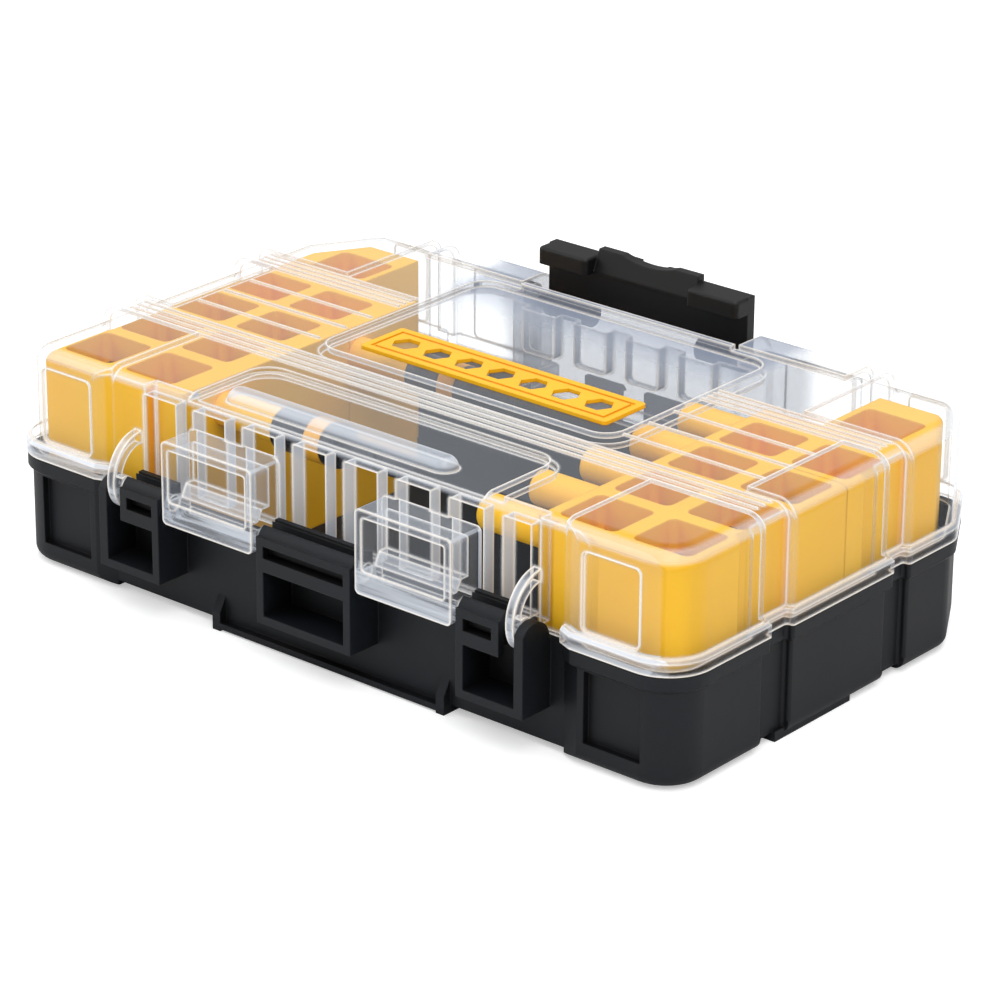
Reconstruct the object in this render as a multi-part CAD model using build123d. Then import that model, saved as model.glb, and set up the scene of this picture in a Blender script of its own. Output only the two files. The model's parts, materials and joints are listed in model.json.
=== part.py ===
from build123d import *
import math
import os

os.makedirs("parts", exist_ok=True)

# All sizes are in millimetres. +X is along the length, -Y the hinge side, +Y the latch side.
# The origin is on the ground under the middle of the closed case.

# Case plan: proud blocks round a slightly smaller core
BLOCK_X = 108.5
CORE_X = 106.5
BLOCK_FRONT = -62.2
MID_FRONT = -60.0
BLOCK_REAR = 68.8
CORE_REAR = 66.8
FRONT_BLOCK_X = 74.0
FRONT_BLOCK_END = -28.5
SIDE_BLOCK_FRONT = -17.5
SIDE_BLOCK_REAR = 21.0
SIDE_BLOCK_TOP_X = 94.0
REAR_BLOCK_START = 30.0
REAR_BLOCK_X = 75.5
REAR_MID_X = 69.5
NOTCH_X = 36.0
NOTCH_Y = 55.6
CORNER_R = 11.0
REAR_CUT_X = 12.2
REAR_CUT_Y = 20.6
REAR_CUT_R = 7.0
STEP_R = 0.9
PAD_R = 8.0

# Heights
BLOCK_BOTTOM = 0.8
CORE_BOTTOM = 2.2
RAIL_BOTTOM = 0.6
FLOOR_TOP = 4.2
RIM_Z = 30.0
PARTING_GAP = 0.3
LID_BOTTOM = RIM_Z + PARTING_GAP
DECK_Z = 60.0
TOP_Z = 61.3

# Base tray
BASE_WALL = 2.2
BAND_OUT = 1.3
BAND_HEIGHT = 4.2
BAND_BEVEL = 0.8
BASE_BOTTOM_R = 3.0
PANEL_DEPTH = 1.2
FRONT_PANEL_DEPTH = 2.2
RAIL_X = 38.5
RAIL_FRONT = -62.3
RAIL_THICK = 2.2
SIDE_FOOT_FRONT = -21.5
SIDE_FOOT_REAR = 9.0

# Lid
LID_WALL = 2.0
LID_FLANGE_OUT = 1.5
LID_FLANGE_HEIGHT = 4.0
FLANGE_BEVEL = 0.8
LID_TOP_R = 5.2
CORE_TOP_R = 4.0
PAN_FLOOR = 58.3
PAN_X = 48.0
FRONT_PAN_REAR = -31.0
LABEL_PAN_FRONT = -12.0
PAN_CORNER_R = 6.0
PILLAR_PITCH = 16.8
PILLAR_WIDTH = 6.2
PILLAR_SHIFT = 1.4
PILLAR_DEPTH = 4.0
PILLAR_TOP = PAN_FLOOR - LID_WALL
GRIP_R = 3.6
GRIP_LEFT = -38.4
GRIP_RIGHT = 28.4
GRIP_Y = -50.5
DECK_RIB = 0.5

# Hinge: a rod moulded on the lid turns in three open hooks of the base
HINGE_Y = -65.8
HINGE_Z = 33.0
ROD_R = 1.9
ROD_CLEARANCE = 0.08
HOOK_R = 3.9
HOOK_MOUTH = 2.9
PLATE_FRONT = -70.3
PLATE_THICK = 2.0
BRACKET_BOTTOM = 11.5
BRACKET_SHELF = 2.2
BRACKET_BAND_LOW = 25.6
BRACKET_BAND_HIGH = 29.2
CENTRE_BRACKET_X = 15.4
CHEEK = 2.2
SIDE_BRACKET_IN = 49.0
SIDE_PLATE_END = 62.2
ARM_CLEARANCE = 0.4
ARM_IN = SIDE_PLATE_END + 5 * ARM_CLEARANCE
ARM_THICK = 2.4
ARM_OUT = ARM_IN + ARM_THICK
EAR_THICK = 2.7
BACKING_X = ARM_IN + 0.3
SIDE_EAR_IN = ARM_OUT + ARM_CLEARANCE
SIDE_EAR_OUT = SIDE_EAR_IN + EAR_THICK
EAR_R = 5.2
EAR_Z = HINGE_Z - 3.0

# Connector loops on the lid
LOOP_IN = 17.0
LOOP_OUT = 47.4
LOOP_FRONT = -70.2
LOOP_BOTTOM = 28.9
LOOP_TOP = 51.2
LOOP_WALL = 2.2
LOOP_BAR_TOP = 35.2
LOOP_R = 1.4

# Latch
LATCH_X = 33.0
LATCH_Y = 63.5
LATCH_Z = 53.8
LATCH_LEG_IN = 18.0
LATCH_LOBE_R = 3.2
LATCH_PLATE_FRONT = 63.0
LATCH_PLATE_REAR = 66.0
LATCH_WING_FRONT = 58.0
LATCH_WING_IN = 16.5
LATCH_WING_LOW = 66.6
LATCH_WING_HIGH = 71.2
LATCH_TOP = 73.0
LATCH_WINDOW_TOP = 57.6
LATCH_LIP = 1.3
LIP_DROP = 2.2
LATCH_PLAY = 0.3
LATCH_SCOOP_R = 30.0
LATCH_SCOOP_DEPTH = 1.3
TRUNNION_R = 1.8
TRUNNION_CLEARANCE = 0.08
TRUNNION_REACH = 1.2
KEEPER_X = 10.0
KEEPER_HALF = 6.0
KEEPER_FRONT = 57.7
KEEPER_THICK = 1.6
KEEPER_BEAD = 1.3
KEEPER_BEAD_HEIGHT = 1.9
KEEPER_BEAD_LOW = 2 * LATCH_Z - LATCH_TOP + LIP_DROP + LATCH_PLAY
KEEPER_TOP = KEEPER_BEAD_LOW + KEEPER_BEAD_HEIGHT

# Bit holders
HOLDER_GAP = 4.2
HOLDER_TOP = 56.0
HOLDER_IN_LEFT = 56.0
HOLDER_IN_RIGHT = 60.0
HOLDER_FRONT = -57.0
HOLDER_CUT_X = BACKING_X + 2.0
HOLDER_CUT_Y = MID_FRONT + PILLAR_DEPTH + LID_WALL + 0.8
HOLDER_STEP_Y = 36.0
HOLDER_STEP_X = 77.0
HOLDER_REAR = 60.5
WELL_DEPTH = 9.0
WELL_FLOOR = 21.6
WELL_X = 17.0
WELL_Y = 16.0
WELL_R = 2.0
INSERT_CLEARANCE = 0.1
REAR_WELL_PLACE = (88.0, 46.0)
REAR_WELL_X = 18.0
REAR_WELL_Y = 14.0
SPARE_WELL_DEPTH = 25.0
HOLDER_SPLIT_Y = 9.0
SPLIT_GAP = 0.2
WELL_ROW_PITCH = 20.4
WELL_FIRST_ROW = -42.0
WELL_ROWS = 3
WELL_OUTER_X = 93.6
WELL_INNER_X = 71.6
POST_R = 4.6
POST_LENGTH = 20.0
POST_Z = 50.0
POST_ROWS = (-48.4, -29.0, -9.6, 9.8, 29.2)

# Screwdriver bits
HEX_FLATS = 6.35
BIT_LENGTH = 25.0
BIT_SHANK = 14.0
BIT_NECK_R = 2.4
BIT_TIP = 6.0
BIT_SEAT_Z = 24.0
BIT_SPACING = 8.2
SOCKET_CLEARANCE = 0.08

# Nut drivers, pushed on posts of the left holder
DRIVER_R = 5.6
DRIVER_BODY = 21.0
DRIVER_SHANK = 25.0
DRIVER_SOCKET = 10.0
DRIVER_ROWS = (-38.0, 13.0)
DRIVER_Z = 48.0
SPIGOT_R = 2.9
SPIGOT_LENGTH = 8.0
MAGNET_R = 2.4
MAGNET_THICK = 1.8

# Label plate in the rear pan of the lid
LABEL_X = 40.5
LABEL_FRONT = -4.2
LABEL_REAR = 12.4
LABEL_THICK = 1.0


def rect(x0, x1, y0, y1):
    """A plain rectangle between two corners."""
    return Pos((x0 + x1) / 2, (y0 + y1) / 2) * Rectangle(x1 - x0, y1 - y0)


def block(x0, x1, y0, y1, z0, z1):
    """A plain box between two corners."""
    return Pos((x0 + x1) / 2, (y0 + y1) / 2, (z0 + z1) / 2) * Box(x1 - x0, y1 - y0, z1 - z0)


def prism(face, z0, z1):
    """A flat face raised from one height to another."""
    return extrude(Pos(0, 0, z0) * face, z1 - z0)


def both_sides(shape):
    """A shape and its mirror image across the middle of the case."""
    return shape + mirror(shape, Plane.YZ)


def proud_blocks(inset):
    """Plan of the proud blocks on one side of the case."""
    front = Polygon(
        (FRONT_BLOCK_X + inset, MID_FRONT + inset),
        (FRONT_BLOCK_X + inset + 5.5, BLOCK_FRONT + inset),
        (BLOCK_X - inset, BLOCK_FRONT + inset),
        (BLOCK_X - inset, FRONT_BLOCK_END - inset),
        (FRONT_BLOCK_X + inset, FRONT_BLOCK_END - inset),
        align=None,
    )
    side_y = (SIDE_BLOCK_FRONT + inset, SIDE_BLOCK_REAR - inset)
    side = rect(SIDE_BLOCK_TOP_X + inset, BLOCK_X - inset, *side_y)
    rear = rect(REAR_BLOCK_X + inset, BLOCK_X - inset, REAR_BLOCK_START + inset, BLOCK_REAR - inset)
    rear_mid = rect(NOTCH_X + inset, REAR_MID_X - inset, NOTCH_Y + inset, BLOCK_REAR - inset)
    return front, side, rear, rear_mid


def rear_corner_cut(inset):
    """Corner piece that the slanting cut takes off the right rear of the plan."""
    length = math.hypot(REAR_CUT_X, REAR_CUT_Y)
    shift_x = inset * REAR_CUT_Y / length
    shift_y = inset * REAR_CUT_X / length
    return Polygon(
        (BLOCK_X + REAR_CUT_X - shift_x, BLOCK_REAR - 2 * REAR_CUT_Y - shift_y),
        (BLOCK_X + 60, BLOCK_REAR + 60),
        (BLOCK_X - 2 * REAR_CUT_X - shift_x, BLOCK_REAR + REAR_CUT_Y - shift_y),
        align=None,
    )


def round_outer_corners(face, inset):
    """Round the four large corners of a plan."""
    front = face.vertices().filter_by(lambda v: is_large_corner(v, inset) and v.Y < 0)
    face = fillet(front, CORNER_R - inset)
    rear = face.vertices().filter_by(lambda v: is_large_corner(v, inset) and v.Y > 0)
    return fillet(rear, REAR_CUT_R - inset)


def plan(inset):
    """Outline of the case, moved inwards by inset."""
    shape = core_plan(inset)
    for part in proud_blocks(inset):
        shape = shape + both_sides(part)
    reach = NOTCH_X + inset
    shape = shape - rect(-reach, reach, NOTCH_Y - inset, BLOCK_REAR + 9)
    shape = shape - both_sides(rear_corner_cut(inset))
    steps = shape.vertices().filter_by(lambda v: not is_large_corner(v, inset))
    shape = fillet(steps, STEP_R)
    return round_outer_corners(shape, inset)


def core_plan(inset):
    """Outline of the core behind the proud blocks."""
    return rect(inset - CORE_X, CORE_X - inset, MID_FRONT + inset, CORE_REAR - inset)


def is_large_corner(vertex, inset):
    """True for the front corners and for both ends of the slanting rear cuts."""
    at_end = abs(vertex.X) > BLOCK_X - inset - 0.01
    at_front = vertex.Y < BLOCK_FRONT + inset + 0.01
    at_rear = vertex.Y > BLOCK_REAR - inset - 0.01
    front_corner = at_end and at_front
    cut_side_end = at_end and vertex.Y > REAR_BLOCK_START + 6
    cut_rear_end = at_rear and abs(vertex.X) > REAR_BLOCK_X + 6
    return front_corner or cut_side_end or cut_rear_end


def envelope(inset, z0, z1):
    """Plain rounded block that holds the whole case plan."""
    face = rect(inset - BLOCK_X, BLOCK_X - inset, BLOCK_FRONT + inset, BLOCK_REAR - inset)
    face = face - both_sides(rear_corner_cut(inset))
    return prism(round_outer_corners(face, inset), z0, z1)


def lathe_x(radius, x0, x1, y, z):
    """A round bar along X."""
    return Pos((x0 + x1) / 2, y, z) * Rot(0, 90, 0) * Cylinder(radius, x1 - x0)


def side_profile(points, x0, x1):
    """A solid with a profile drawn in Y and Z, running along X."""
    face = Plane.YZ * Polygon(*points, align=None)
    return Pos(x0, 0, 0) * extrude(face, x1 - x0, dir=(1, 0, 0))


# Base tray

def hook(x0, x1):
    """Open-topped hook that holds the hinge rod."""
    ring = lathe_x(HOOK_R, x0, x1, HINGE_Y, HINGE_Z)
    plate = block(x0, x1, PLATE_FRONT, PLATE_FRONT + PLATE_THICK, BRACKET_BAND_LOW, HINGE_Z)
    shape = ring + plate + block(x0, x1, PLATE_FRONT, HINGE_Y, HINGE_Z - 0.2, HINGE_Z + 1.6)
    shape = shape + block(x0, x1, HINGE_Y + 2.4, HINGE_Y + HOOK_R, HINGE_Z, HINGE_Z + 3.8)
    shape = shape - lathe_x(ROD_R + ROD_CLEARANCE, x0 - 1, x1 + 1, HINGE_Y, HINGE_Z)
    mouth = HOOK_MOUTH / 2
    shape = shape - block(x0 - 1, x1 + 1, HINGE_Y - mouth, HINGE_Y + mouth, HINGE_Z, HINGE_Z + 9)
    return shape


def bracket_slot(x0, x1):
    """The thin window through which the rod shows."""
    return block(x0, x1, PLATE_FRONT - 1, HINGE_Y - ROD_R, BRACKET_BAND_HIGH, HINGE_Z - 0.6)


def cheek(x0, x1, top):
    """Full-depth side wall of a bracket."""
    return block(x0, x1, PLATE_FRONT, MID_FRONT + 1, BRACKET_BOTTOM, top)


def centre_bracket():
    """Middle bracket with a hook across its whole width."""
    x = CENTRE_BRACKET_X
    shape = both_sides(cheek(x - CHEEK, x, HINGE_Z - 2.9))
    shape = shape + block(-x, x, PLATE_FRONT, MID_FRONT + 1, BRACKET_BOTTOM, BRACKET_BOTTOM + BRACKET_SHELF)
    shape = shape + block(-x, x, PLATE_FRONT, MID_FRONT + 1, BRACKET_BAND_LOW + 2.4, BRACKET_BAND_HIGH)
    shape = shape + hook(-x, x)
    return shape - bracket_slot(CHEEK - x, x - CHEEK)


def side_bracket():
    """Right-hand bracket: a hook, a gap for the lid's arm, and a round-topped ear."""
    shape = cheek(SIDE_BRACKET_IN, SIDE_BRACKET_IN + CHEEK, HINGE_Z - 2.9)
    shelf_top = BRACKET_BOTTOM + BRACKET_SHELF
    wall = MID_FRONT + 1
    band_low = BRACKET_BAND_LOW + 2.4
    shape = shape + block(SIDE_BRACKET_IN, SIDE_EAR_OUT, PLATE_FRONT, wall, BRACKET_BOTTOM, shelf_top)
    shape = shape + block(SIDE_BRACKET_IN, SIDE_PLATE_END, PLATE_FRONT, wall, band_low, BRACKET_BAND_HIGH)
    shape = shape + hook(SIDE_BRACKET_IN, SIDE_PLATE_END)
    shape = shape - bracket_slot(SIDE_BRACKET_IN + CHEEK, SIDE_PLATE_END - CHEEK)
    ear = block(SIDE_EAR_IN, SIDE_EAR_OUT, PLATE_FRONT, wall, BRACKET_BOTTOM, RIM_Z - 0.2)
    round_top = lathe_x(EAR_R, SIDE_EAR_IN, SIDE_EAR_OUT, HINGE_Y, EAR_Z)
    round_top = round_top & block(SIDE_EAR_IN, SIDE_EAR_OUT, PLATE_FRONT, MID_FRONT, RIM_Z - 2, HINGE_Z + 9)
    return shape + ear + round_top


def keeper():
    """Two upright tongues on the rear rim that the closed latch grips."""
    bracket = side_profile(
        (
            (NOTCH_Y - 1, RIM_Z - 10),
            (KEEPER_FRONT + KEEPER_THICK, RIM_Z - 5),
            (KEEPER_FRONT + KEEPER_THICK, KEEPER_BEAD_LOW),
            (KEEPER_FRONT + KEEPER_THICK + KEEPER_BEAD, KEEPER_BEAD_LOW),
            (KEEPER_FRONT + KEEPER_THICK, KEEPER_TOP),
            (KEEPER_FRONT, KEEPER_TOP),
            (KEEPER_FRONT, RIM_Z),
            (NOTCH_Y - 1, RIM_Z),
        ),
        KEEPER_X - KEEPER_HALF,
        KEEPER_X + KEEPER_HALF,
    )
    return both_sides(bracket)


def ground_rails():
    """Thin rail, tabs and feet under the base that the case stands on."""
    front = block(-RAIL_X, RAIL_X, RAIL_FRONT, RAIL_FRONT + 8, RAIL_BOTTOM, RAIL_THICK)
    tab = side_profile(
        ((RAIL_FRONT, 0), (RAIL_FRONT + 8, 0), (RAIL_FRONT + 8, 9), (MID_FRONT, 9), (RAIL_FRONT, 5)),
        RAIL_X - 2.6,
        RAIL_X,
    )
    rear = block(-RAIL_X, RAIL_X, NOTCH_Y - 9, NOTCH_Y - 4, 0, CORE_BOTTOM + 0.5)
    side = block(BLOCK_X - 12, BLOCK_X - 1, SIDE_FOOT_FRONT, SIDE_FOOT_REAR, 0, CORE_BOTTOM + 0.5)
    return front + both_sides(tab) + rear + both_sides(side)


def side_panels():
    """Shallow panels sunk in the outer faces of the base."""
    low = 6.5
    high = RIM_Z - BAND_HEIGHT - 0.6
    front = block(81.5, 98.5, BLOCK_FRONT - 1, BLOCK_FRONT + FRONT_PANEL_DEPTH, low, high)
    rear = block(80.5, 92.5, BLOCK_REAR - PANEL_DEPTH, BLOCK_REAR + 1, low, high)
    rear_mid = block(NOTCH_X + 6, REAR_MID_X - 6, BLOCK_REAR - PANEL_DEPTH, BLOCK_REAR + 1, low, high)
    return both_sides(front + rear + rear_mid)


def panel_backing():
    """Thicker wall behind the deep front panels."""
    outer = BLOCK_FRONT + BASE_WALL - 0.2
    inner = BLOCK_FRONT + HOLDER_GAP - 0.3
    return both_sides(block(79.5, 101.0, outer, inner, FLOOR_TOP - 0.5, RIM_Z - 2.4))


def base_tray():
    """The lower half of the case with hinge hooks, keeper and rails."""
    outside = envelope(0, BLOCK_BOTTOM, RIM_Z)
    outside = fillet(outside.faces().sort_by(Axis.Z)[0].edges(), BASE_BOTTOM_R)
    shell = outside & prism(plan(0), CORE_BOTTOM, RIM_Z)
    for part in proud_blocks(0)[:3]:
        shell = shell + both_sides(outside & prism(part, BLOCK_BOTTOM, CORE_BOTTOM + 2))
    band = prism(plan(-BAND_OUT), RIM_Z - BAND_HEIGHT, RIM_Z)
    band = chamfer(band.faces().sort_by(Axis.Z)[0].edges(), BAND_BEVEL)
    mid = FRONT_BLOCK_X + 1
    band = band - block(-mid, mid, BLOCK_FRONT - 9, MID_FRONT, 0, RIM_Z + 1)
    shell = shell + band - side_panels()
    cavity = envelope(BASE_WALL, FLOOR_TOP, RIM_Z + 1)
    cavity = fillet(cavity.faces().sort_by(Axis.Z)[0].edges(), BASE_BOTTOM_R - 0.5)
    cavity = cavity & prism(plan(BASE_WALL), FLOOR_TOP, RIM_Z + 1)
    tray = shell + ground_rails() + keeper() + centre_bracket() + both_sides(side_bracket())
    return tray - cavity + panel_backing()


# Clear lid

def pan(y0, y1, grow, z0, z1):
    """A sunken pan of the lid's top, grown on all sides."""
    face = rect(-PAN_X - grow, PAN_X + grow, y0 - grow, y1 + grow)
    return prism(fillet(face.vertices(), PAN_CORNER_R + grow), z0, z1)


def lid_pans(grow, z0, z1):
    """Front pan, open to the front, and rear pan for the label."""
    front = pan(MID_FRONT - 12, FRONT_PAN_REAR, grow, z0, z1)
    rear = pan(LABEL_PAN_FRONT, NOTCH_Y - LID_WALL - grow, grow, z0, z1)
    return front + rear


def deck_ribs():
    """Fine parallel ribs that run along the lid's top."""
    low = DECK_Z - 0.5
    high = DECK_Z + DECK_RIB
    half = CORE_X - 4
    shape = block(-half, half, -27.6, -26.8, low, high)
    for y in (-24.6, -22.0, -19.4):
        shape = shape + block(-half, half, y - 0.35, y + 0.35, low, high)
    for y in (22.0, 24.4, 26.8, 29.2):
        shape = shape + both_sides(block(PAN_X + 2, half, y - 0.35, y + 0.35, low, high))
    for y in (-9.0, 1.0, 11.0):
        shape = shape + both_sides(block(PAN_X + 2, SIDE_BLOCK_TOP_X - 1, y - 0.3, y + 0.3, low, high))
    return shape


def front_wall_grooves():
    """Sunken bays between the pillars of the lid's front wall."""
    low = LID_BOTTOM + 2.2
    half = PILLAR_WIDTH / 2
    centres = [PILLAR_SHIFT + k * PILLAR_PITCH for k in range(-3, 4)]
    spans = [(x + half, x + PILLAR_PITCH - half) for x in centres[:-1]]
    spans.append((centres[-1] + half, ARM_IN - 1))
    spans.append((1 - ARM_IN, centres[0] - half))
    shape = None
    for x0, x1 in spans:
        bay = block(x0, x1, MID_FRONT - 9, MID_FRONT + PILLAR_DEPTH, low, PILLAR_TOP)
        shape = bay if shape is None else shape + bay
    return shape


def lid_inside():
    """The hollow of the lid."""
    hollow = envelope(LID_WALL, LID_BOTTOM - 1, DECK_Z - LID_WALL)
    hollow = fillet(hollow.faces().sort_by(Axis.Z)[-1].edges(), LID_TOP_R - LID_WALL)
    hollow = hollow & prism(plan(LID_WALL), LID_BOTTOM - 1, DECK_Z - LID_WALL)
    hollow = hollow - lid_pans(LID_WALL, PAN_FLOOR - LID_WALL, DECK_Z)
    half = BACKING_X
    backing = block(-half, half, MID_FRONT, MID_FRONT + PILLAR_DEPTH + LID_WALL, LID_BOTTOM - 2, DECK_Z)
    return hollow - backing


def rear_pillars():
    """Stiffening pillars inside the wall of the latch notch."""
    shape = None
    for x in (-26.1, -8.7, 8.7, 26.1):
        low = block(x - 5.5, x + 5.5, NOTCH_Y - LID_WALL - 3.2, NOTCH_Y - 1, 44, PAN_FLOOR)
        low = fillet(low.edges().filter_by(Axis.Y), 1.6)
        shape = low if shape is None else shape + low
    return shape


def connector_loop():
    """Right-hand connector loop on the lid's front wall."""
    face = Plane.XZ * rect(LOOP_IN, LOOP_OUT, LOOP_BOTTOM, LOOP_TOP)
    shape = extrude(Pos(0, MID_FRONT + 1, 0) * face, MID_FRONT + 1 - LOOP_FRONT)
    shape = fillet(shape.edges().filter_by(Axis.Y), LOOP_R)
    side_in = LOOP_IN + LOOP_WALL
    side_out = LOOP_OUT - LOOP_WALL
    inner = block(side_in, side_out, LOOP_FRONT - 1, MID_FRONT - 1.2, LOOP_BAR_TOP, LOOP_TOP - LOOP_WALL)
    shape = shape - fillet(inner.edges().filter_by(Axis.Y), LOOP_R / 2)
    ledge = side_profile(
        (
            (LOOP_FRONT + 4.2, LOOP_BAR_TOP - 1),
            (MID_FRONT, LOOP_BAR_TOP - 1),
            (MID_FRONT, LOOP_BAR_TOP + 3.2),
            (LOOP_FRONT + 6.4, LOOP_BAR_TOP + 3.2),
        ),
        LOOP_IN + 1,
        LOOP_OUT - 1,
    )
    heel = side_profile(
        (
            (MID_FRONT - 1.3, LOOP_BOTTOM - 1),
            (MID_FRONT + 3, LOOP_BOTTOM - 1),
            (MID_FRONT + 3, LID_BOTTOM),
            (MID_FRONT, LID_BOTTOM),
            (MID_FRONT - 1.3, LOOP_BOTTOM),
        ),
        LOOP_IN - 1,
        LOOP_OUT + 1,
    )
    return shape + ledge - heel


def hinge_arm():
    """Right-hand curved arm that holds the end of the hinge rod."""
    wall = MID_FRONT + 0.5
    tip = (HINGE_Y - 0.6, HINGE_Z - 5.8)
    outer = Spline((wall, 46.2), (-66.4, 43.4), (-69.4, 39.0), (-70.2, 34.0), (-69.2, 30.0), tip)
    inner = Spline(tip, (-66.0, 31.0), (-67.2, 35.0), (-66.4, 38.6), (-63.8, 41.6), (wall, 43.0))
    close = Line((wall, 43.0), (wall, 46.2))
    face = make_face([outer, inner, close]) + Pos(HINGE_Y, HINGE_Z) * Circle(ROD_R + 0.7)
    return Pos(ARM_IN, 0, 0) * extrude(Plane.YZ * face, ARM_THICK, dir=(1, 0, 0))


def hinge_rods():
    """Rod lengths between the loops and out to the arms."""
    centre = lathe_x(ROD_R, -LOOP_IN - 1, LOOP_IN + 1, HINGE_Y, HINGE_Z)
    side = lathe_x(ROD_R, LOOP_OUT - 1, ARM_OUT - 0.5, HINGE_Y, HINGE_Z)
    return centre + both_sides(side)


def grip_bar():
    """Half-round bar in the front pan."""
    bar = lathe_x(GRIP_R, GRIP_LEFT, GRIP_RIGHT, GRIP_Y, PAN_FLOOR)
    bar = bar + Pos(GRIP_LEFT, GRIP_Y, PAN_FLOOR) * Sphere(GRIP_R)
    bar = bar + Pos(GRIP_RIGHT, GRIP_Y, PAN_FLOOR) * Sphere(GRIP_R)
    return bar & block(-60, 60, GRIP_Y - 9, GRIP_Y + 9, PAN_FLOOR - 1.0, PAN_FLOOR + 9)


def lid_window_recesses():
    """Shallow windows in the corner blocks and centre blocks of the lid."""
    low = LID_BOTTOM + LID_FLANGE_HEIGHT + 0.8
    high = DECK_Z - 4.5
    front = block(80.5, 97.5, BLOCK_FRONT - 1, BLOCK_FRONT + 0.9, low, high)
    rear = block(80.5, 92.5, BLOCK_REAR - 0.9, BLOCK_REAR + 1, low, high)
    rear_mid = block(NOTCH_X + 6, REAR_MID_X - 6, BLOCK_REAR - 0.9, BLOCK_REAR + 1, low, high)
    shape = fillet(front.edges().filter_by(Axis.Y), 1.6) + fillet(rear.edges().filter_by(Axis.Y), 1.6)
    return both_sides(shape + fillet(rear_mid.edges().filter_by(Axis.Y), 1.6))


def trunnion_bores():
    """Bores in the sides of the notch for the latch's trunnions."""
    bore_end = NOTCH_X + TRUNNION_REACH + 0.3
    side = lathe_x(TRUNNION_R + TRUNNION_CLEARANCE, NOTCH_X - 1, bore_end, LATCH_Y, LATCH_Z)
    return both_sides(side)


def lid_shell():
    """The clear lid with loops, arms, hinge rods and pans."""
    outer = envelope(0, LID_BOTTOM, TOP_Z)
    outer = fillet(outer.faces().sort_by(Axis.Z)[-1].edges(), LID_TOP_R)
    core = prism(core_plan(0), LID_BOTTOM, DECK_Z)
    core = fillet(core.faces().sort_by(Axis.Z)[-1].edges(), CORE_TOP_R)
    pads = None
    for part in proud_blocks(0):
        pad = both_sides(prism(part, LID_BOTTOM, TOP_Z))
        pads = pad if pads is None else pads + pad
    body = (core + pads) & outer & prism(plan(0), LID_BOTTOM, TOP_Z)
    body = body - lid_pans(0, PAN_FLOOR, TOP_Z + 9) - lid_window_recesses()
    flange = prism(plan(-LID_FLANGE_OUT), LID_BOTTOM, LID_BOTTOM + LID_FLANGE_HEIGHT)
    flange = chamfer(flange.faces().sort_by(Axis.Z)[-1].edges(), FLANGE_BEVEL)
    flange = flange - block(-LOOP_IN, LOOP_IN, MID_FRONT - 9, MID_FRONT, 0, DECK_Z)
    flange = flange - both_sides(block(LOOP_OUT, FRONT_BLOCK_X, MID_FRONT - 9, MID_FRONT, 0, DECK_Z))
    body = body + flange + deck_ribs() - front_wall_grooves()
    lip = block(1 - NOTCH_X, NOTCH_X - 1, NOTCH_Y - LID_WALL + 0.1, NOTCH_Y - 0.1, DECK_Z - 1, TOP_Z)
    body = body + grip_bar() + lip - lid_inside() + rear_pillars()
    body = body + both_sides(connector_loop()) + both_sides(hinge_arm()) + hinge_rods()
    return body - trunnion_bores()


# Latch, drawn raised as on the open case

def latch():
    """Black latch with two legs, two wings and a thumb scoop."""
    plate = block(-LATCH_X, LATCH_X, LATCH_PLATE_FRONT, LATCH_PLATE_REAR, LATCH_Z, LATCH_WING_HIGH)
    leg = LATCH_LEG_IN
    plate = plate - block(-leg, leg, LATCH_PLATE_FRONT - 1, LATCH_PLATE_REAR + 1, LATCH_Z - 1, LATCH_WINDOW_TOP)
    lobe = lathe_x(LATCH_LOBE_R, LATCH_LEG_IN, LATCH_X, LATCH_Y, LATCH_Z)
    wing = block(
        LATCH_WING_IN, LATCH_X, LATCH_WING_FRONT, LATCH_PLATE_REAR, LATCH_WING_LOW, LATCH_WING_HIGH
    )
    wing = fillet(wing.edges().filter_by(Axis.Z).group_by(Axis.Y)[0], 1.4)
    wing = fillet(wing.faces().sort_by(Axis.Z)[-1].edges().sort_by(Axis.Y)[:3], 0.8)
    centre = side_profile(
        (
            (LATCH_PLATE_FRONT - 1.6, LATCH_WING_LOW),
            (LATCH_PLATE_FRONT - 1.6, LATCH_WING_LOW + 0.8),
            (LATCH_PLATE_FRONT + 0.6, LATCH_TOP),
            (LATCH_PLATE_REAR, LATCH_TOP),
            (LATCH_PLATE_REAR, LATCH_WING_LOW),
        ),
        -LATCH_WING_IN,
        LATCH_WING_IN,
    )
    scoop_z = LATCH_TOP + LATCH_SCOOP_R - LATCH_SCOOP_DEPTH
    scoop = Pos(0, LATCH_Y, scoop_z) * Rot(90, 0, 0) * Cylinder(LATCH_SCOOP_R, 20)
    lip = side_profile(
        (
            (LATCH_PLATE_REAR - 1, LATCH_TOP - LIP_DROP),
            (LATCH_PLATE_REAR + LATCH_LIP, LATCH_TOP - LIP_DROP),
            (LATCH_PLATE_REAR + LATCH_LIP, LATCH_TOP - 1.2),
            (LATCH_PLATE_REAR - 1, LATCH_TOP),
        ),
        KEEPER_X + 0.5 - KEEPER_HALF,
        KEEPER_X - 0.5 + KEEPER_HALF,
    )
    trunnion = lathe_x(TRUNNION_R, LATCH_X - 1, NOTCH_X + TRUNNION_REACH, LATCH_Y, LATCH_Z)
    shape = plate + both_sides(lobe) + both_sides(wing) + centre + both_sides(lip)
    return shape - scoop + both_sides(trunnion)


# Bit holders

def wells(side):
    """Middle points of the square wells of one holder."""
    points = []
    for x in (WELL_INNER_X, WELL_OUTER_X):
        for k in range(WELL_ROWS):
            points.append((side * x, WELL_FIRST_ROW + k * WELL_ROW_PITCH))
    return points


def bit_places(centre):
    """The four bit places of one well."""
    step = BIT_SPACING / 2
    return [(centre[0] + i * step, centre[1] + j * step) for i in (-1, 1) for j in (-1, 1)]


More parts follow.
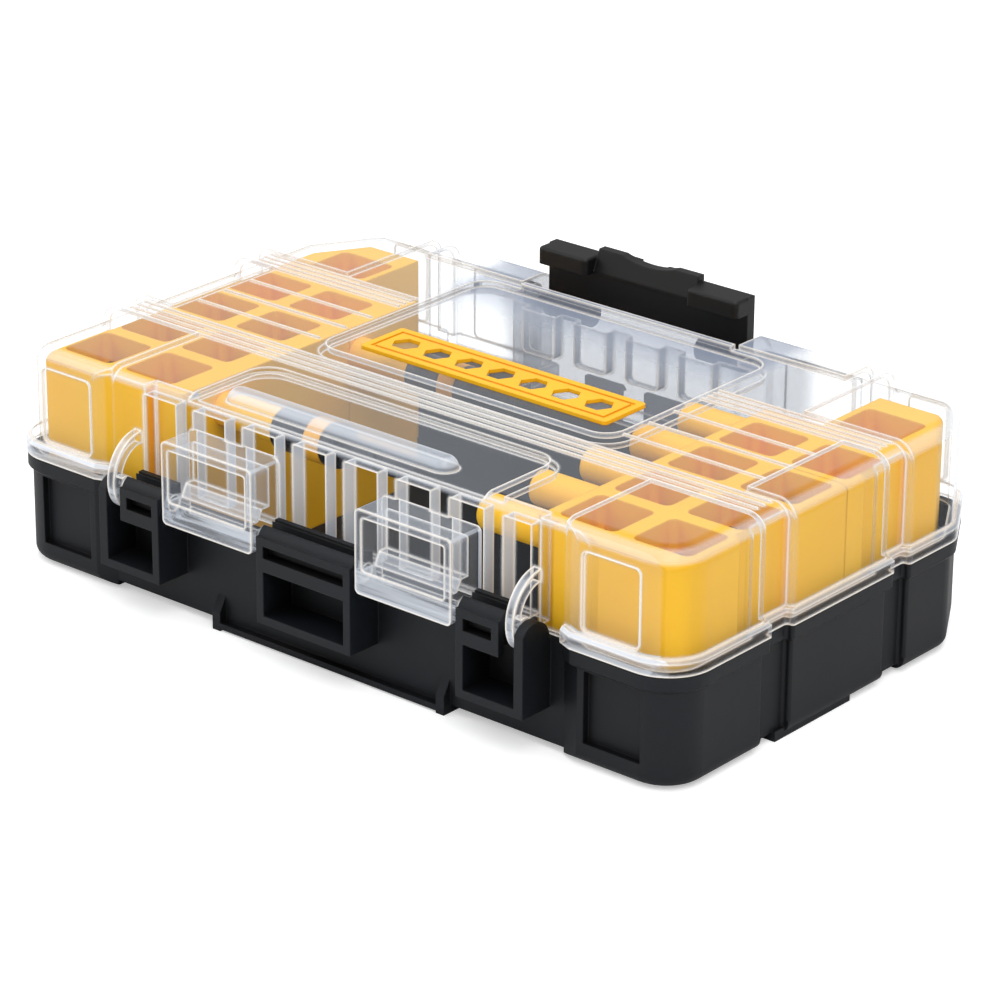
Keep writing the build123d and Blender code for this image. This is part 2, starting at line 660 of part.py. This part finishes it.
def holder_blank(side, inner):
    """Outer shape of the two holders on one side, without wells."""
    face = plan(HOLDER_GAP)
    if side > 0:
        keep = rect(inner, BLOCK_X, HOLDER_FRONT, HOLDER_STEP_Y)
        keep = keep + rect(HOLDER_STEP_X, BLOCK_X, 0, HOLDER_REAR)
    else:
        keep = rect(-BLOCK_X, -inner, HOLDER_FRONT, HOLDER_STEP_Y)
        keep = keep + rect(-BLOCK_X, -HOLDER_STEP_X, 0, HOLDER_REAR)
    face = face & keep
    face = face - rect(-HOLDER_CUT_X, HOLDER_CUT_X, HOLDER_FRONT - 1, HOLDER_CUT_Y)
    body = prism(face, FLOOR_TOP, HOLDER_TOP)
    outside = envelope(HOLDER_GAP, FLOOR_TOP, HOLDER_TOP)
    outside = fillet(outside.faces().sort_by(Axis.Z)[-1].edges(), 2.0)
    outside = fillet(outside.faces().sort_by(Axis.Z)[0].edges(), 1.6)
    return body & outside


def bit_holder(side, inner):
    """Yellow holder with six wells for the socket inserts."""
    end = HOLDER_SPLIT_Y - SPLIT_GAP / 2
    body = holder_blank(side, inner) & block(-BLOCK_X, BLOCK_X, HOLDER_FRONT - 9, end, 0, TOP_Z)
    for centre in wells(side):
        body = body - well_block(centre, 0, WELL_FLOOR, HOLDER_TOP + 1)
    return body


def spare_holder(side, inner):
    """Yellow holder behind it with three open wells for spare bits."""
    start = HOLDER_SPLIT_Y + SPLIT_GAP / 2
    body = holder_blank(side, inner) & block(-BLOCK_X, BLOCK_X, start, BLOCK_REAR, 0, TOP_Z)
    spare_floor = HOLDER_TOP - SPARE_WELL_DEPTH
    last_row = WELL_FIRST_ROW + WELL_ROWS * WELL_ROW_PITCH
    for x in (WELL_INNER_X, WELL_OUTER_X):
        body = body - well_block((side * x, last_row), 0, spare_floor, HOLDER_TOP + 1)
    rear_face = RectangleRounded(REAR_WELL_X, REAR_WELL_Y, WELL_R)
    rear_well = Pos(side * REAR_WELL_PLACE[0], REAR_WELL_PLACE[1]) * rear_face
    return body - prism(rear_well, spare_floor, HOLDER_TOP + 1)


def well_block(centre, clearance, z0, z1):
    """The room of one well, or an insert that fits it with a clearance."""
    face = RectangleRounded(WELL_X - 2 * clearance, WELL_Y - 2 * clearance, WELL_R - clearance)
    return prism(Pos(centre[0], centre[1]) * face, z0, z1)


def socket_inserts(side):
    """Six inserts with four bit sockets each, seated in the wells of one holder."""
    inserts = []
    radius = HEX_FLATS / math.sqrt(3) + SOCKET_CLEARANCE
    top = HOLDER_TOP - WELL_DEPTH
    for centre in wells(side):
        body = well_block(centre, INSERT_CLEARANCE, WELL_FLOOR, top)
        for x, y in bit_places(centre):
            depth = top - BIT_SEAT_Z + 1
            body = body - Pos(x, y, BIT_SEAT_Z + depth / 2) * Cylinder(radius, depth)
        inserts.append(body)
    return inserts


def right_posts():
    """Five round posts on the inner face of the right holders."""
    posts = []
    for y in POST_ROWS:
        post = lathe_x(POST_R, HOLDER_IN_RIGHT - POST_LENGTH, HOLDER_IN_RIGHT, y, POST_Z)
        posts.append(fillet(post.faces().sort_by(Axis.X)[0].edges(), 1.2))
    return posts


def left_posts():
    """Two posts with spigots on the left holders that carry the nut drivers."""
    post_end = POST_LENGTH - HOLDER_IN_LEFT
    posts = []
    for y in DRIVER_ROWS:
        post = lathe_x(POST_R, -HOLDER_IN_LEFT, post_end, y, DRIVER_Z)
        posts.append(post + lathe_x(SPIGOT_R, post_end - 1, post_end + SPIGOT_LENGTH, y, DRIVER_Z))
    return posts


# Screwdriver bits

def hexagon(flats):
    """A regular hexagon by its width across flats."""
    return RegularPolygon(flats / 2, 6, major_radius=False)


def shank():
    """Hexagonal shank and round neck of a bit, standing on z = 0."""
    body = prism(hexagon(HEX_FLATS), 0, BIT_SHANK)
    on_base = (Align.CENTER, Align.CENTER, Align.MIN)
    tip_cone = Cone(HEX_FLATS * 0.52, HEX_FLATS * 0.62, BIT_SHANK, align=on_base)
    body = body & tip_cone
    neck_top = BIT_LENGTH - BIT_TIP
    body = body + Pos(0, 0, BIT_SHANK) * Cone(
        HEX_FLATS / 2, BIT_NECK_R, 1.5, align=(Align.CENTER, Align.CENTER, Align.MIN)
    )
    return body + prism(Circle(BIT_NECK_R), BIT_SHANK, neck_top + 0.5)


def point_blank(low_r, high_r):
    """Cone that a tip is cut from."""
    cone = Cone(low_r, high_r, BIT_TIP, align=(Align.CENTER, Align.CENTER, Align.MIN))
    return Pos(0, 0, BIT_LENGTH - BIT_TIP) * cone


def cross_tip(width, thick):
    """Four-winged tip."""
    low = BIT_LENGTH - BIT_TIP
    wings = prism(Rectangle(width * 2, thick) + Rectangle(thick, width * 2), low, BIT_LENGTH)
    return (wings & point_blank(width, width * 0.42)) + point_blank(width * 0.75, thick * 0.5)


def square_tip(width):
    """Square tip."""
    low = BIT_LENGTH - BIT_TIP
    return prism(Rectangle(width, width), low, BIT_LENGTH) & point_blank(width * 0.9, width * 0.62)


def star_tip(radius):
    """Six-lobed tip."""
    face = Circle(radius * 0.74)
    for k in range(6):
        angle = math.radians(60 * k)
        reach = radius * 0.76
        face = face + Pos(reach * math.cos(angle), reach * math.sin(angle)) * Circle(radius * 0.24)
    return prism(face, BIT_LENGTH - BIT_TIP, BIT_LENGTH)


def hex_tip(flats):
    """Six-sided tip."""
    return prism(hexagon(flats), BIT_LENGTH - BIT_TIP, BIT_LENGTH)


def blade_tip(width, thick):
    """Flat blade tip."""
    low = BIT_LENGTH - BIT_TIP
    return prism(Rectangle(width, thick), low, BIT_LENGTH) & point_blank(width * 0.6, width * 0.5)


def bit_group(tip, centre):
    """Four like bits standing in one well."""
    bit = shank() + tip
    return [Pos(x, y, BIT_SEAT_Z) * bit for x, y in bit_places(centre)]


# Nut drivers

def nut_driver(y, flats):
    """Nut driver lying along X with its mouth on a post of the left holder."""
    mouth = POST_LENGTH - HOLDER_IN_LEFT
    axis = Pos(mouth, y, DRIVER_Z) * Rot(0, 90, 0)
    body = prism(Circle(DRIVER_R), 0, DRIVER_BODY)
    body = chamfer(body.edges(), 0.6)
    body = body - prism(hexagon(flats), -1, DRIVER_SOCKET)
    body = body - prism(Circle(MAGNET_R), DRIVER_SOCKET - 1, DRIVER_SOCKET + MAGNET_THICK)
    groove = prism(Circle(DRIVER_R + 1) - Circle(DRIVER_R - 0.5), DRIVER_BODY * 0.55, DRIVER_BODY * 0.8)
    tail = prism(hexagon(HEX_FLATS), DRIVER_BODY - 1, DRIVER_BODY + DRIVER_SHANK)
    notch = prism(Circle(6) - Circle(2.8), DRIVER_BODY + 12, DRIVER_BODY + 15)
    return axis * (body - groove + (tail - notch))


def driver_band(y):
    """Coloured band in the groove of a nut driver."""
    mouth = POST_LENGTH - HOLDER_IN_LEFT
    axis = Pos(mouth, y, DRIVER_Z) * Rot(0, 90, 0)
    ring = Circle(DRIVER_R + 0.2) - Circle(DRIVER_R - 0.5)
    return axis * prism(ring, DRIVER_BODY * 0.55, DRIVER_BODY * 0.8)


def driver_magnet(y):
    """Disc magnet at the bottom of a nut driver's mouth."""
    mouth = POST_LENGTH - HOLDER_IN_LEFT
    axis = Pos(mouth, y, DRIVER_Z) * Rot(0, 90, 0)
    return axis * prism(Circle(MAGNET_R), DRIVER_SOCKET, DRIVER_SOCKET + MAGNET_THICK)


# Label plate, left plain apart from a frame and a row of hexagons

def label_plate():
    """Plain yellow plate with a frame line and a row of hexagon holes."""
    face = rect(-LABEL_X, LABEL_X, LABEL_FRONT, LABEL_REAR)
    plate = prism(fillet(face.vertices(), 1.2), PAN_FLOOR, PAN_FLOOR + LABEL_THICK)
    middle = (LABEL_FRONT + LABEL_REAR) / 2
    groove = rect(2 - LABEL_X, LABEL_X - 2, LABEL_FRONT + 2, LABEL_REAR - 2)
    groove = groove - rect(2.9 - LABEL_X, LABEL_X - 2.9, LABEL_FRONT + 2.9, LABEL_REAR - 2.9)
    plate = plate - prism(groove, PAN_FLOOR + LABEL_THICK - 0.4, PAN_FLOOR + LABEL_THICK + 1)
    for k in range(-3, 4):
        hole = Pos(k * 10.6, middle) * hexagon(6.8)
        plate = plate - prism(hole, PAN_FLOOR - 1, PAN_FLOOR + LABEL_THICK + 1)
    return plate


def save(name, shape):
    """Write one node."""
    if isinstance(shape, list):
        shape = Compound(children=shape)
    export_step(shape, "parts/" + name + ".step")


save("base_tray", base_tray())
save("lid_shell", lid_shell())
save("latch", latch())
save("label_plate", label_plate())
save("left_holder", bit_holder(-1, HOLDER_IN_LEFT))
save("right_holder", bit_holder(1, HOLDER_IN_RIGHT))
save("left_spare_holder", spare_holder(-1, HOLDER_IN_LEFT))
save("right_spare_holder", spare_holder(1, HOLDER_IN_RIGHT))
save("left_posts", left_posts())
save("right_posts", right_posts())
save("left_inserts", socket_inserts(-1))
save("right_inserts", socket_inserts(1))

right = wells(1)
left = wells(-1)
save("bits_cross_1", bit_group(cross_tip(2.2, 0.8), right[0]))
save("bits_cross_2", bit_group(cross_tip(2.6, 1.0), right[1]))
save("bits_cross_3", bit_group(cross_tip(3.0, 1.3), right[2]))
save("bits_square_1", bit_group(square_tip(2.3), right[3]))
save("bits_square_2", bit_group(square_tip(2.8), right[4]))
save("bits_square_3", bit_group(square_tip(3.3), right[5]))
save("bits_star_15", bit_group(star_tip(1.65), left[0]))
save("bits_star_20", bit_group(star_tip(1.95), left[1]))
save("bits_star_25", bit_group(star_tip(2.25), left[2]))
save("bits_star_30", bit_group(star_tip(2.75), left[3]))
save("bits_hex", bit_group(hex_tip(4.0), left[4]))
save("bits_blade", bit_group(blade_tip(5.5, 1.0), left[5]))

save("nut_driver_small", nut_driver(DRIVER_ROWS[0], 6.4))
save("nut_driver_large", nut_driver(DRIVER_ROWS[1], 8.0))
save("nut_driver_bands", [driver_band(y) for y in DRIVER_ROWS])
save("nut_driver_magnets", [driver_magnet(y) for y in DRIVER_ROWS])
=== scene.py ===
import json
import math
import bpy
from mathutils import Matrix, Vector

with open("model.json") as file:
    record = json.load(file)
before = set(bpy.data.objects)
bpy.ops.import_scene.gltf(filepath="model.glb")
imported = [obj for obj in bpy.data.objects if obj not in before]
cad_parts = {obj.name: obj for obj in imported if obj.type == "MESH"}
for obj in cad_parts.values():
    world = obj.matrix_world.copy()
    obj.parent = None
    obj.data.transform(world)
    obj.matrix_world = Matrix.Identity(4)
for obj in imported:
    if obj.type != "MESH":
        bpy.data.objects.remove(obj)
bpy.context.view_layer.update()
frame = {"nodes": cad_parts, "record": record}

nodes = frame["nodes"]
MM = 0.001

# Places on the lid where painted white highlights or a grey cover lie on its plastic
FRONT_BAYS = (-60.2 * MM, -55.9 * MM)
REAR_BAYS = (49.5 * MM, 53.7 * MM)
BAYS_HALF_WIDTH = 62.9 * MM
GRIP_BAR = (-54.4 * MM, -46.6 * MM)
GRIP_BAR_FOOT = 58.6 * MM
GRIP_BAR_REACH = 44.5 * MM
LOOPS_BACK = -60.8 * MM
LOOPS_LOWER_BARS = 35.1 * MM
HAZE_START = 24.0 * MM
HAZE_FULL = 54.0 * MM
HAZE_HALF_WIDTH = 51.5 * MM
HAZE_SIDE_FADE = 4.5 * MM

# Tones of the clear plastic: white for the painted edge highlights, pale for the painted reflection, grey on
# the rear wall and edge outlines, and the clear tint
EDGE_HIGHLIGHT_WHITE = (248, 242, 234)
PAINTED_REFLECTION_PALE = (226, 233, 243)
HAZE_GREY = (150, 160, 178)
CLEAR_TINT = (0.967, 0.973, 0.979, 1.0)

# Camera, set to the photograph's viewing angle
TARGET = Vector((2.84, 0.68, 26.57)) * MM
DISTANCE = 1087.9 * MM
AZIMUTH = math.radians(40.025)
ELEVATION = math.radians(22.94)
ROLL = math.radians(0.415)
FOCAL_LENGTH = 154.06


# Shader building


class Value:
    """A number that varies over a surface; sums and products of it add Math nodes."""

    def __init__(self, finish, socket):
        self.finish = finish
        self.socket = socket

    def __add__(self, other):
        return self.finish.math("ADD", self, other)

    __radd__ = __add__

    def __mul__(self, other):
        return self.finish.math("MULTIPLY", self, other)

    __rmul__ = __mul__

    def __sub__(self, other):
        return self.finish.math("SUBTRACT", self, other)

    def __rsub__(self, other):
        return self.finish.math("SUBTRACT", other, self)

    def between(self, low, high):
        """0 below low, 1 above high, and a smooth rise in between."""
        settings = {"interpolation_type": "SMOOTHSTEP"}
        sockets = {"Value": self, "From_Min": low, "From_Max": high}
        return self.finish.add("ShaderNodeMapRange", settings, **sockets)["Result"]

    def step(self, place, softness=0.2 * MM):
        """0 before a place and 1 past it."""
        return self.between(place - softness / 2, place + softness / 2)

    def within(self, low, high):
        """1 between two places and 0 outside them."""
        return self.step(low) * (1 - self.step(high))

    def clamped(self):
        return self.finish.add("ShaderNodeClamp", {}, Value=self)["Result"]

    def unsigned(self):
        return self.finish.math("ABSOLUTE", self)


class Finish:
    """The nodes of one material or of the world."""

    def __init__(self, owner):
        owner.use_nodes = True
        self.owner = owner
        self.tree = owner.node_tree
        self.tree.nodes.clear()

    def add(self, kind, settings=None, **inputs):
        """Adds a node, sets it up, and returns its outputs by name."""
        node = self.tree.nodes.new(kind)
        for name, value in (settings or {}).items():
            setattr(node, name, value)
        for name, value in inputs.items():
            self.feed(node, name, value)
        return {
            socket.name: Value(self, socket) if socket.type == "VALUE" else socket
            for socket in node.outputs
            if socket.enabled
        }

    def feed(self, node, name, value):
        """Sets or links one input; an underscore stands for a space, and a final number picks the socket."""
        if name[0] == "_":
            target = node.inputs[int(name[1:])]
        else:
            target = node.inputs[name.replace("_", " ")]
        source = value.socket if isinstance(value, Value) else value
        if isinstance(source, bpy.types.NodeSocket):
            self.tree.links.new(source, target)
        else:
            target.default_value = source

    def math(self, operation, *values):
        inputs = {"_%d" % k: value for k, value in enumerate(values)}
        return self.add("ShaderNodeMath", {"operation": operation}, **inputs)["Value"]

    def place(self):
        """Object coordinates in metres."""
        return self.add("ShaderNodeTexCoord")["Object"]

    def drawn_out(self, scale):
        """Object coordinates, shrunk along the axes on which a pattern is to run long."""
        return self.add("ShaderNodeMapping", {}, Vector=self.place(), Scale=scale)["Vector"]

    def noise(self, scale, detail, where=None):
        where = where or self.place()
        return self.add("ShaderNodeTexNoise", {}, Vector=where, Scale=scale, Detail=detail)["Fac"]

    def grain(self, cell):
        """Fine bumps, one to a cell of the given size."""
        return self.add("ShaderNodeTexVoronoi", {}, Vector=self.place(), Scale=1 / cell)["Distance"]

    def blend(self, factor, first, second):
        """A mix of two colours."""
        out = self.add("ShaderNodeMix", {"data_type": "RGBA"}, _0=factor, _6=first, _7=second)
        return out["Result"]

    def mixed(self, factor, first, second):
        """A mix of two shaders."""
        return self.add("ShaderNodeMixShader", {}, _0=factor, _1=first, _2=second)["Shader"]

    def bump(self, height, strength, distance, normal):
        sockets = {"Height": height, "Strength": strength, "Distance": distance, "Normal": normal}
        return self.add("ShaderNodeBump", {}, **sockets)["Normal"]

    def rounded(self, radius, samples=4):
        return self.add("ShaderNodeBevel", {"samples": samples}, Radius=radius)["Normal"]

    def edges(self, radius):
        """How far the surface turns within a radius: above 0 along edges, 0 on flats."""
        soft = self.rounded(radius, 6)
        true = self.add("ShaderNodeNewGeometry")["Normal"]
        dot = self.add("ShaderNodeVectorMath", {"operation": "DOT_PRODUCT"}, _0=soft, _1=true)["Value"]
        return 1 - dot

    def sheltered(self, reach):
        """0 deep in the piece's own recesses, 1 on its open faces."""
        settings = {"samples": 6, "only_local": True}
        return self.add("ShaderNodeAmbientOcclusion", settings, Distance=reach)["AO"]

    def axes(self, vector):
        """The three parts of a vector."""
        parts = self.add("ShaderNodeSeparateXYZ", {}, Vector=vector)
        return parts["X"], parts["Y"], parts["Z"]

    def shown(self, shader, output="ShaderNodeOutputMaterial"):
        """Makes a shader the one that shows, and returns the material or world."""
        self.add(output, {}, Surface=shader)
        return self.owner


def rgb(red, green, blue):
    """A display colour in 0 to 255, as a linear colour."""
    def linear(value):
        value = value / 255
        return value / 12.92 if value <= 0.04045 else ((value + 0.055) / 1.055) ** 2.4
    return (linear(red), linear(green), linear(blue), 1.0)


def new_finish(name):
    return Finish(bpy.data.materials.new(name))


def moulded_plastic(name, tones, roughness, grain_size, grain_depth, edge_radius, index=1.5):
    """Opaque moulded plastic: a fine grain, slight mottling, rounded edges and painted shade in recesses."""
    recess_shade_tone, dark, light = (rgb(*tone) for tone in tones)
    finish = new_finish(name)
    mottle = finish.noise(38.0, 4.0)
    fine = finish.noise(900.0, 2.0)
    shade = (mottle * 0.7 + fine * 0.3).between(0.3, 0.7)
    # Painted shade: ambient occlusion blends the colour towards the recess shade tone in the piece's own
    # recesses
    open_face = finish.sheltered(11 * MM).between(0.3, 0.85)
    shader = finish.add(
        "ShaderNodeBsdfPrincipled",
        {},
        Base_Color=finish.blend(open_face, recess_shade_tone, finish.blend(shade, dark, light)),
        Roughness=(roughness - 0.06) + mottle * 0.12,
        Normal=finish.bump(finish.grain(grain_size), 0.35, grain_depth, finish.rounded(edge_radius)),
        IOR=index,
    )["BSDF"]
    return finish.shown(shader)


def clear_plastic(name):
    """Clear lid plastic: painted white highlights along its edges, clear on faces looked at squarely, and a
    painted white reflection on slanted ones.
    """
    finish = new_finish(name)
    # Painted highlights: white bands along the lid's edges, where light catches the moulded plastic
    edge_highlight = finish.edges(1.4 * MM).between(0.02, 0.12)
    wide_edge_highlight = finish.edges(1.9 * MM).between(0.003, 0.06)
    surface = finish.add("ShaderNodeNewGeometry")
    outer = 1 - surface["Backfacing"]
    gloss = finish.add("ShaderNodeLayerWeight", {}, Blend=0.27)["Fresnel"]
    # Painted reflection: a white cover that thickens on faces seen at a slant
    grazing_reflection = (gloss - 0.03).clamped() * outer
    upward = finish.axes(surface["Normal"])[2].unsigned()
    level = upward.between(0.8, 0.97)
    # Painted highlight on fillets and slopes that face partly upward
    fillet_highlight = upward.between(0.2, 0.45) * (1 - level) * outer
    flow = finish.noise(26.0, 3.0)
    rear = rear_haze(finish)
    rear_cover = rear * (level * grazing_reflection.between(0.02, 0.08) * 0.52 + (1 - level) * 0.36)
    # The cover: a faint flow haze in the plastic, the painted reflection, the grey rear wall and painted
    # highlights on fillets
    haze_and_reflection_cover = flow * 0.008 + grazing_reflection * 1.6 + rear_cover + fillet_highlight * 0.3
    # Painted highlights on the bar, the loops, the edges and the bay sides add to the white cover
    cover = haze_and_reflection_cover + thick_plastic_highlight(finish) + edge_highlight * 0.55 + wide_edge_highlight * 0.34 + bay_side_highlight(finish) * 0.7
    reflection_and_grey_tone = finish.blend((rear + wide_edge_highlight * 0.6).clamped(), rgb(*PAINTED_REFLECTION_PALE), rgb(*HAZE_GREY))
    plastic = finish.add(
        "ShaderNodeBsdfPrincipled",
        {},
        Base_Color=finish.blend(edge_highlight, reflection_and_grey_tone, rgb(*EDGE_HIGHLIGHT_WHITE)),
        Roughness=0.08 + flow * 0.06,
        IOR=1.5,
    )["BSDF"]
    through = finish.add("ShaderNodeBsdfTransparent", {}, Color=CLEAR_TINT)["BSDF"]
    return finish.shown(finish.mixed(cover.clamped(), through, plastic))


def bay_side_highlight(finish):
    """1 on the side walls of the bays in the lid's front and rear walls, where a painted white highlight lies
    on the plastic.
    """
    across, along, up = finish.axes(finish.place())
    normal = finish.add("ShaderNodeNewGeometry")["True Normal"]
    turned = finish.axes(normal)[0].unsigned().between(0.7, 0.95)
    in_walls = along.within(*FRONT_BAYS) + along.within(*REAR_BAYS)
    return turned * in_walls * (1 - across.unsigned().step(BAYS_HALF_WIDTH))


def thick_plastic_highlight(finish):
    """Painted white highlight on the half-round bar and the connector loops, with painted streaks of
    highlight on the loops' lower bars.
    """
    across, along, up = finish.axes(finish.place())
    bar = along.within(*GRIP_BAR) * up.step(GRIP_BAR_FOOT) * (1 - across.unsigned().step(GRIP_BAR_REACH))
    loops = 1 - along.step(LOOPS_BACK)
    lower = 1 - up.step(LOOPS_LOWER_BARS)
    stripes = finish.noise(420.0, 2.0, finish.drawn_out((0.04, 1.0, 1.0))).between(0.45, 0.6)
    return bar * 0.26 + loops * (0.07 + lower * (0.06 + stripes * 0.4))


def rear_haze(finish):
    """1 at the lid's rear wall between the holders, where the plastic looks grey; fades over the rear pan."""
    across, along, up = finish.axes(finish.place())
    low = HAZE_HALF_WIDTH - HAZE_SIDE_FADE
    high = HAZE_HALF_WIDTH + HAZE_SIDE_FADE
    return along.between(HAZE_START, HAZE_FULL) * (1 - across.unsigned().between(low, high))


def tool_steel(name, dark, light, roughness):
    """Dark machined steel with fine turned marks along it."""
    finish = new_finish(name)
    lines = finish.noise(1800.0, 2.0, finish.drawn_out((1.0, 1.0, 0.08)))
    mottle = finish.noise(260.0, 3.0)
    shader = finish.add(
        "ShaderNodeBsdfPrincipled",
        {},
        Base_Color=finish.blend((lines * 0.5 + mottle * 0.5).between(0.3, 0.7), rgb(*dark), rgb(*light)),
        Metallic=0.9,
        Roughness=(roughness - 0.1) + mottle * 0.2,
        Normal=finish.bump(lines, 0.2, 0.05 * MM, finish.rounded(0.2 * MM)),
    )["BSDF"]
    return finish.shown(shader)


# Tones of each plastic: painted shade in deep recesses, then the darker mottles and the lighter ones
CASE_TONES = ((0, 0, 0), (5, 9, 15), (9, 14, 22))
LATCH_TONES = ((0, 0, 0), (5, 5, 5), (9, 9, 10))
HOLDER_TONES = ((238, 142, 1), (255, 188, 2), (255, 196, 4))
INSERT_TONES = ((232, 146, 2), (250, 178, 6), (255, 188, 12))
LABEL_TONES = ((230, 150, 4), (252, 182, 8), (255, 192, 14))
BAND_TONES = ((214, 130, 6), (244, 170, 20), (252, 182, 28))

FINISHES = {
    "case_black": moulded_plastic("case_black", CASE_TONES, 0.55, 0.4 * MM, 0.02 * MM, 0.5 * MM, 1.38),
    "latch_black": moulded_plastic("latch_black", LATCH_TONES, 0.5, 0.4 * MM, 0.02 * MM, 0.6 * MM, 1.42),
    "holder_yellow": moulded_plastic("holder_yellow", HOLDER_TONES, 0.5, 0.6 * MM, 0.015 * MM, 0.8 * MM),
    "insert_orange": moulded_plastic("insert_orange", INSERT_TONES, 0.5, 0.6 * MM, 0.015 * MM, 0.4 * MM),
    "label_yellow": moulded_plastic("label_yellow", LABEL_TONES, 0.3, 0.4 * MM, 0.01 * MM, 0.3 * MM),
    "band_yellow": moulded_plastic("band_yellow", BAND_TONES, 0.35, 0.4 * MM, 0.01 * MM, 0.3 * MM),
    "clear_plastic": clear_plastic("clear_plastic"),
    "bit_steel": tool_steel("bit_steel", (70, 66, 62), (110, 104, 98), 0.4),
    "driver_steel": tool_steel("driver_steel", (38, 38, 40), (66, 66, 70), 0.38),
    "magnet": tool_steel("magnet", (170, 170, 168), (205, 204, 200), 0.25),
}

for part in frame["record"]["subparts"]:
    mesh = nodes[part["node"]].data
    mesh.materials.clear()
    mesh.materials.append(FINISHES[part["material_slot"]])


# Stage, light and camera

FLOOR_SIZE = 12.0
WHITE = (1.0, 1.0, 1.0, 1.0)

def looked_at(finish):
    """1 for what the camera sees, also through glass, and 0 for light that falls on the part."""
    rays = finish.add("ShaderNodeLightPath")
    return finish.math("MAXIMUM", rays["Is Camera Ray"], rays["Is Transmission Ray"])


def stage_finish():
    """Pale floor: white to the camera, light grey to the lamps."""
    finish = new_finish("stage_floor")
    speckle = finish.noise(60.0, 2.0)
    colour = finish.blend(speckle, (0.82, 0.82, 0.82, 1.0), (0.86, 0.86, 0.86, 1.0))
    floor = finish.add("ShaderNodeBsdfDiffuse", {}, Color=colour)["BSDF"]
    glow = finish.add("ShaderNodeEmission", {}, Color=WHITE, Strength=0.42)["Emission"]
    lit = finish.add("ShaderNodeAddShader", {}, _0=floor, _1=glow)["Shader"]
    return finish.shown(finish.mixed(looked_at(finish), floor, lit))


def make_floor():
    half = FLOOR_SIZE / 2
    mesh = bpy.data.meshes.new("stage_floor")
    corners = [(-half, -half, 0), (half, -half, 0), (half, half, 0), (-half, half, 0)]
    mesh.from_pydata(corners, [], [(0, 1, 2, 3)])
    mesh.materials.append(stage_finish())
    floor = bpy.data.objects.new("stage_floor", mesh)
    bpy.context.scene.collection.objects.link(floor)


def make_world():
    """White to the camera, and a soft even light on the part."""
    world = bpy.data.worlds.new("studio")
    bpy.context.scene.world = world
    finish = Finish(world)
    light = finish.add("ShaderNodeBackground", {}, Color=WHITE, Strength=0.55)["Background"]
    backdrop = finish.add("ShaderNodeBackground", {}, Color=WHITE, Strength=1.0)["Background"]
    finish.shown(finish.mixed(looked_at(finish), light, backdrop), "ShaderNodeOutputWorld")


def lamp(name, place, size, power):
    """A soft rectangular lamp that points at the part."""
    data = bpy.data.lights.new(name, "AREA")
    data.shape = "RECTANGLE"
    data.size, data.size_y = size
    data.energy = power
    lamp_object = bpy.data.objects.new(name, data)
    spot = Vector(place)
    turn = (TARGET - spot).to_track_quat("-Z", "Y").to_matrix()
    lamp_object.matrix_world = Matrix.Translation(spot) @ turn.to_4x4()
    bpy.context.scene.collection.objects.link(lamp_object)


def make_camera():
    level = math.cos(ELEVATION)
    back = Vector((math.sin(AZIMUTH) * level, -math.cos(AZIMUTH) * level, math.sin(ELEVATION)))
    right = Vector((math.cos(AZIMUTH), math.sin(AZIMUTH), 0))
    up = back.cross(right)
    turned_right = right * math.cos(ROLL) + up * math.sin(ROLL)
    turned_up = up * math.cos(ROLL) - right * math.sin(ROLL)
    data = bpy.data.cameras.new("photo_camera")
    data.sensor_width = 36.0
    data.lens = FOCAL_LENGTH
    camera = bpy.data.objects.new("photo_camera", data)
    turn = Matrix((turned_right, turned_up, back)).transposed()
    camera.matrix_world = Matrix.Translation(TARGET + back * DISTANCE) @ turn.to_4x4()
    bpy.context.scene.collection.objects.link(camera)
    bpy.context.scene.camera = camera


make_floor()
make_world()
lamp("key_lamp", (0.9, -0.9, 1.5), (1.2, 1.2), 18.0)
lamp("fill_lamp", (-1.4, -0.6, 1.0), (1.4, 1.0), 9.0)
lamp("top_lamp", (0.0, 0.3, 1.7), (1.6, 1.2), 12.0)
make_camera()
bpy.context.scene.view_settings.view_transform = "Standard"
bpy.context.scene.cycles.transparent_max_bounces = 32
